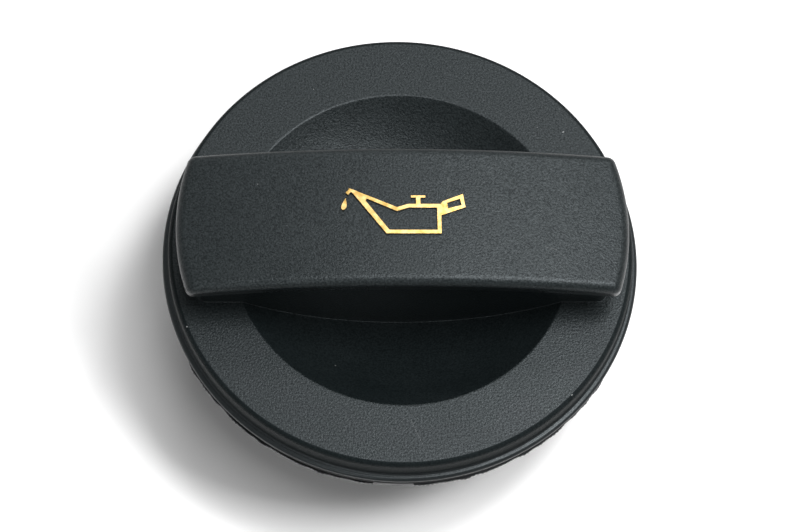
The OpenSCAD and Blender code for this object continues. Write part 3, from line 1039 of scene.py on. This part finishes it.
# %% Sealing ring
GROOVE = 0.5
seal_in, seal_out = NECK_R + SLIP_GAP, seal_high.x
ring_corners = [(seal_in, seal_high.z, 0.25), (seal_in, seal_low.z, 0.25)]
for share in (1 / 3, 2 / 3):
    middle = seal_in + (seal_out - seal_in) * share
    arc = (math.pi * (1 - k / 8) for k in range(9))
    ring_corners += [(middle + GROOVE * math.cos(a), seal_low.z + GROOVE * math.sin(a), 0) for a in arc]
ring_corners += [(seal_out, seal_low.z, 0.25), (seal_out, seal_high.z, 0.25)]
middle_top = ((seal_in + seal_out) / 2, seal_high.z, 0)
ring_outline = rounded([middle_top, *ring_corners, middle_top])
seal_skin = Skin()
seal_skin.bridge_all([seal_skin.ring(circle(p.x, p.y)) for p in ring_outline])
seal = seal_skin.build("cap_seal_ring", seal_material)
smooth(seal)

# %% [markdown]
# ## Oil can sign
#
# The sign on the grip is the common symbol for engine oil: a long-spouted can with a falling drop.
# It stands a little proud of the grip and is gilded on top. Its parts are flat shapes given by
# their corners. A triangulation merges them to one area, and a tree raises that area and bends it
# to the crown of the grip.

# %% Shapes of the sign
STROKE = 0.58
TIP_SHARE = 0.85
SIGN_RELIEF = 0.35
SIGN_ROOT = 0.05
SIGN_PLACE = Vector((0.03, 0.27))


def widened(path, width, closed):
    """Both sides of a line of even width along a path, as two lists of points."""
    sides = ([], [])
    n = len(path)
    for i, p in enumerate(path):
        here = Vector(p)
        steps = []
        if closed or i > 0:
            steps.append((here - Vector(path[i - 1])).normalized())
        if closed or i < n - 1:
            steps.append((Vector(path[(i + 1) % n]) - here).normalized())
        tangent = sum(steps, Vector((0, 0))).normalized()
        across = Vector((-tangent.y, tangent.x))
        reach = width / 2 / max(0.3, abs(across.dot(Vector((-steps[0].y, steps[0].x)))))
        sides[0].append(here + across * reach)
        sides[1].append(here - across * reach)
    return sides


body_path = [(-7.65, 3.30), (-1.10, 0.33), (0.64, 0.89), (5.26, 0.92), (5.26, -3.35), (-2.60, -3.37)]
spout_path = [(-7.20, 3.15), (-8.15, 3.52), (-8.65, 2.95)]
# The narrow end of the spout is filled, and its lower wall is the thicker one
spout_fill = [(-7.65, 3.30), (-5.50, 2.33), (-5.86, 1.77), (-2.27, -3.12), (-2.60, -3.37)]
handle = [(5.35, 0.95), (5.80, 1.65), (8.90, 2.95), (9.25, 0.75), (5.35, -0.72)]
handle_hole = [(6.45, 1.42), (8.45, 2.15), (8.68, 1.08), (6.60, 0.50)]
knob_bar = [(1.03, 2.24), (3.20, 2.24), (3.20, 2.60), (1.03, 2.60)]
knob_stem = [(1.78, 0.95), (2.44, 0.95), (2.44, 2.40), (1.78, 2.40)]
DROP_TIP, DROP_LEN, DROP_W, DROP_LEAN = Vector((-8.84, 2.26)), 1.95, 0.72, 0.36
DROP_POINTS = 20
DROP_FULLNESS = 0.77
drop = []
for k in range(DROP_POINTS):
    turn = 2 * math.pi * k / DROP_POINTS
    down = (1 - math.cos(turn)) / 2
    across = DROP_W * DROP_FULLNESS * math.sin(turn) * math.sin(turn / 2) ** 1.5
    drop.append(DROP_TIP + Vector((across - DROP_LEAN * down, -DROP_LEN * down)))

body_sides = widened(body_path, STROKE, True)
spout_sides = widened(spout_path, STROKE * TIP_SHARE, False)
shapes = [
    (body_sides[0], body_sides[1]),
    (spout_sides[0] + spout_sides[1][::-1], []),
    (spout_fill, []),
    (handle, handle_hole),
    (knob_bar, []),
    (knob_stem, []),
    (drop, []),
]
print("shapes of the sign:", len(shapes))

# %% One flat area
def inside(point, polygon):
    """Is a point inside a polygon? Then a line to its right crosses the sides an odd number of times."""
    crossings = 0
    for i, b in enumerate(polygon):
        a = polygon[i - 1]
        if (a[1] > point.y) != (b[1] > point.y):
            crossings += point.x < a[0] + (point.y - a[1]) / (b[1] - a[1]) * (b[0] - a[0])
    return crossings % 2 == 1


corners, borders = [], []
for shape in shapes:
    for loop in shape:
        first = len(corners)
        corners += [Vector(p) for p in loop]
        borders += [(first + i, first + (i + 1) % len(loop)) for i in range(len(loop))]
points, _, faces, _, _, _ = delaunay_2d_cdt(corners, borders, [], 0, 1e-5)


def in_sign(face):
    """Does the middle of a triangle lie in one of the shapes, and not in its hole?"""
    middle = sum((points[i] for i in face), Vector((0, 0))) / 3
    return any(inside(middle, outer) != inside(middle, hole) for outer, hole in shapes)


kept = [tuple(f) for f in faces if in_sign(f)]
sign_mesh = bpy.data.meshes.new("oil_can_sign")
sign_mesh.from_pydata([(*((p + SIGN_PLACE) * MM), 0) for p in points], [], kept)
sign = bpy.data.objects.new("oil_can_sign", sign_mesh)
bpy.context.scene.collection.objects.link(sign)
work = bmesh.new()
work.from_mesh(sign_mesh)
bmesh.ops.delete(work, geom=[v for v in work.verts if not v.link_faces], context="VERTS")
bmesh.ops.recalc_face_normals(work, faces=work.faces)
if sum(f.normal.z for f in work.faces) < 0:
    bmesh.ops.reverse_faces(work, faces=work.faces)
work.to_mesh(sign_mesh)
work.free()
print("triangles of the sign:", len(kept))

# %% Raised and laid on the crown
def raise_sign():
    """A tree that raises a flat area, gilds its top, and bends it to a crowned surface."""
    tree, given = new_tree("raise_sign", {
        "Relief": "NodeSocketFloat", "Root": "NodeSocketFloat", "Crown radius": "NodeSocketFloat",
        "Crown centre": "NodeSocketFloat", "Foil": "NodeSocketMaterial", "Plastic": "NodeSocketMaterial",
    })
    flat = given["Geometry"]
    height = maths(tree, "ADD", given["Relief"], given["Root"])
    raised = add(tree, "GeometryNodeExtrudeMesh", {
        "Mesh": flat, "Offset Scale": height, "Individual": False}, mode="FACES")
    gilded = add(tree, "GeometryNodeSetMaterial", {
        "Geometry": raised.outputs["Mesh"], "Material": given["Plastic"]}).outputs[0]
    gilded = add(tree, "GeometryNodeSetMaterial", {
        "Geometry": gilded, "Selection": raised.outputs["Top"], "Material": given["Foil"]}).outputs[0]
    under = add(tree, "GeometryNodeFlipFaces", {"Mesh": flat}).outputs[0]
    under = add(tree, "GeometryNodeSetMaterial", {
        "Geometry": under, "Material": given["Plastic"]}).outputs[0]
    both = add(tree, "GeometryNodeJoinGeometry")
    tree.links.new(under, both.inputs[0])
    tree.links.new(gilded, both.inputs[0])
    whole = add(tree, "GeometryNodeMergeByDistance", {
        "Geometry": both.outputs[0], "Distance": MERGE * MM}).outputs[0]
    split = add(tree, "ShaderNodeSeparateXYZ", {0: add(tree, "GeometryNodeInputPosition").outputs[0]})
    x = split.outputs["X"]
    rest = maths(tree, "SUBTRACT", maths(tree, "MULTIPLY", given["Crown radius"], given["Crown radius"]),
                 maths(tree, "MULTIPLY", x, x))
    bend = maths(tree, "ADD", maths(tree, "SQRT", rest), given["Crown centre"])
    lift = add(tree, "ShaderNodeCombineXYZ", {"Z": maths(tree, "SUBTRACT", bend, given["Root"])}).outputs[0]
    laid = add(tree, "GeometryNodeSetPosition", {"Geometry": whole, "Offset": lift}).outputs[0]
    add(tree, "NodeGroupOutput", {
        "Geometry": add(tree, "GeometryNodeRealizeInstances", {"Geometry": laid}).outputs[0]})
    return tree


run_tree(sign, raise_sign(), {
    "Relief": SIGN_RELIEF * MM, "Root": SIGN_ROOT * MM, "Crown radius": crown_r * MM,
    "Crown centre": (peak_z - crown_r) * MM, "Foil": foil_material, "Plastic": cover_material})

# %% [markdown]
# ## Pieces on the frame
#
# Each piece rides on the body that the imported model has, and stands for its node, which is hidden.

# %% Pieces on the frame
for piece, node, slot in (
    (cover, "cover", "black_nylon"),
    (base, "neck_base", "dark_nylon"),
    (seal, "seal_ring", "black_rubber"),
):
    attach(piece, "root")
    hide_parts(node)
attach(sign, "root")

# %% [markdown]
# ## Floor and light
#
# The cap stands on a white table in white surroundings, which its faces mirror faintly. Three soft
# boxes hang over it, from the middle to the right, so flat faces turned up shine most at the front
# right and the front wall of the dish stays black. Two boxes behind it light the table, and leave a
# soft shadow at the lower left. A weak light at the front gives the back wall of the dish its gleam.

# %% Floor
FLOOR_SIZE = 3.0
FLOOR_DROP = 0.02
FAINT_GLOW = 0.03


def is_seen(tree):
    """1 for rays of the camera, of mirrors and through glass, and 0 for the rays that only light."""
    path = add(tree, "ShaderNodeLightPath").outputs
    seen = maths(tree, "MAXIMUM", path["Is Camera Ray"], path["Is Glossy Ray"])
    return maths(tree, "MAXIMUM", seen, path["Is Transmission Ray"])


floor_mesh = bpy.data.meshes.new("floor")
half = FLOOR_SIZE / 2
floor_corners = [(-half, -half, 0), (half, -half, 0), (half, half, 0), (-half, half, 0)]
floor_mesh.from_pydata(floor_corners, [], [(0, 1, 2, 3)])
floor = bpy.data.objects.new("floor", floor_mesh)
bpy.context.scene.collection.objects.link(floor)
floor.location.z = -FLOOR_DROP * MM
paper, tree = new_material("white_paper")
show(tree, {
    "Base Color": linear("#f2f2f2"), "Roughness": 0.9, "Emission Color": linear("#ffffff"),
    "Emission Strength": maths(tree, "MULTIPLY", is_seen(tree), FAINT_GLOW),
})
floor_mesh.materials.append(paper)
floor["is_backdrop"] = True

# %% Lights
def area_light(name, place, size, power):
    """A soft rectangular light that faces the cap. Its place and size are in millimetres."""
    lamp = bpy.data.lights.new(name, "AREA")
    lamp.shape = "RECTANGLE"
    lamp.size, lamp.size_y = size[0] * MM, size[1] * MM
    lamp.energy = power
    holder = bpy.data.objects.new(name, lamp)
    bpy.context.scene.collection.objects.link(holder)
    holder.location = Vector(place) * MM
    toward = Vector((0, 0, top_z)) * MM - holder.location
    holder.rotation_euler = toward.to_track_quat("-Z", "Y").to_euler()
    return holder


area_light("soft_box_left", (60, -50, 430), (236, 100), 0.76)
area_light("soft_box", (120, 50, 430), (118, 100), 1.07)
area_light("soft_box_right", (240, -70, 430), (118, 130), 1.37)
area_light("back_right", (240, 150, 430), (118, 100), 0.33)
area_light("back", (5, 370, 430), (240, 100), 0.53)
area_light("front_fill", (-138, -380, 321), (90, 90), 0.38)

world = bpy.data.worlds.new("white_surround")
bpy.context.scene.world = world
world.use_nodes = True
world.node_tree.nodes.clear()
sky = world.node_tree
glow = add(sky, "ShaderNodeBackground", {
    "Color": linear("#ffffff"), "Strength": ramp(sky, is_seen(sky), 0.0, 1.0, FAINT_GLOW, 1.0),
})
add(sky, "ShaderNodeOutputWorld", {"Surface": glow.outputs["Background"]})
bpy.context.scene.view_settings.view_transform = "Standard"

# %% [markdown]
# ## Size
#
# The last cell prints the imported model's box and the dressed model's box beside each other.

# %% Size
new_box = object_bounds()
for name, box in (("packed", cad_box), ("dressed", new_box)):
    print(name, [round(v / MM, 2) for corner in box for v in corner])
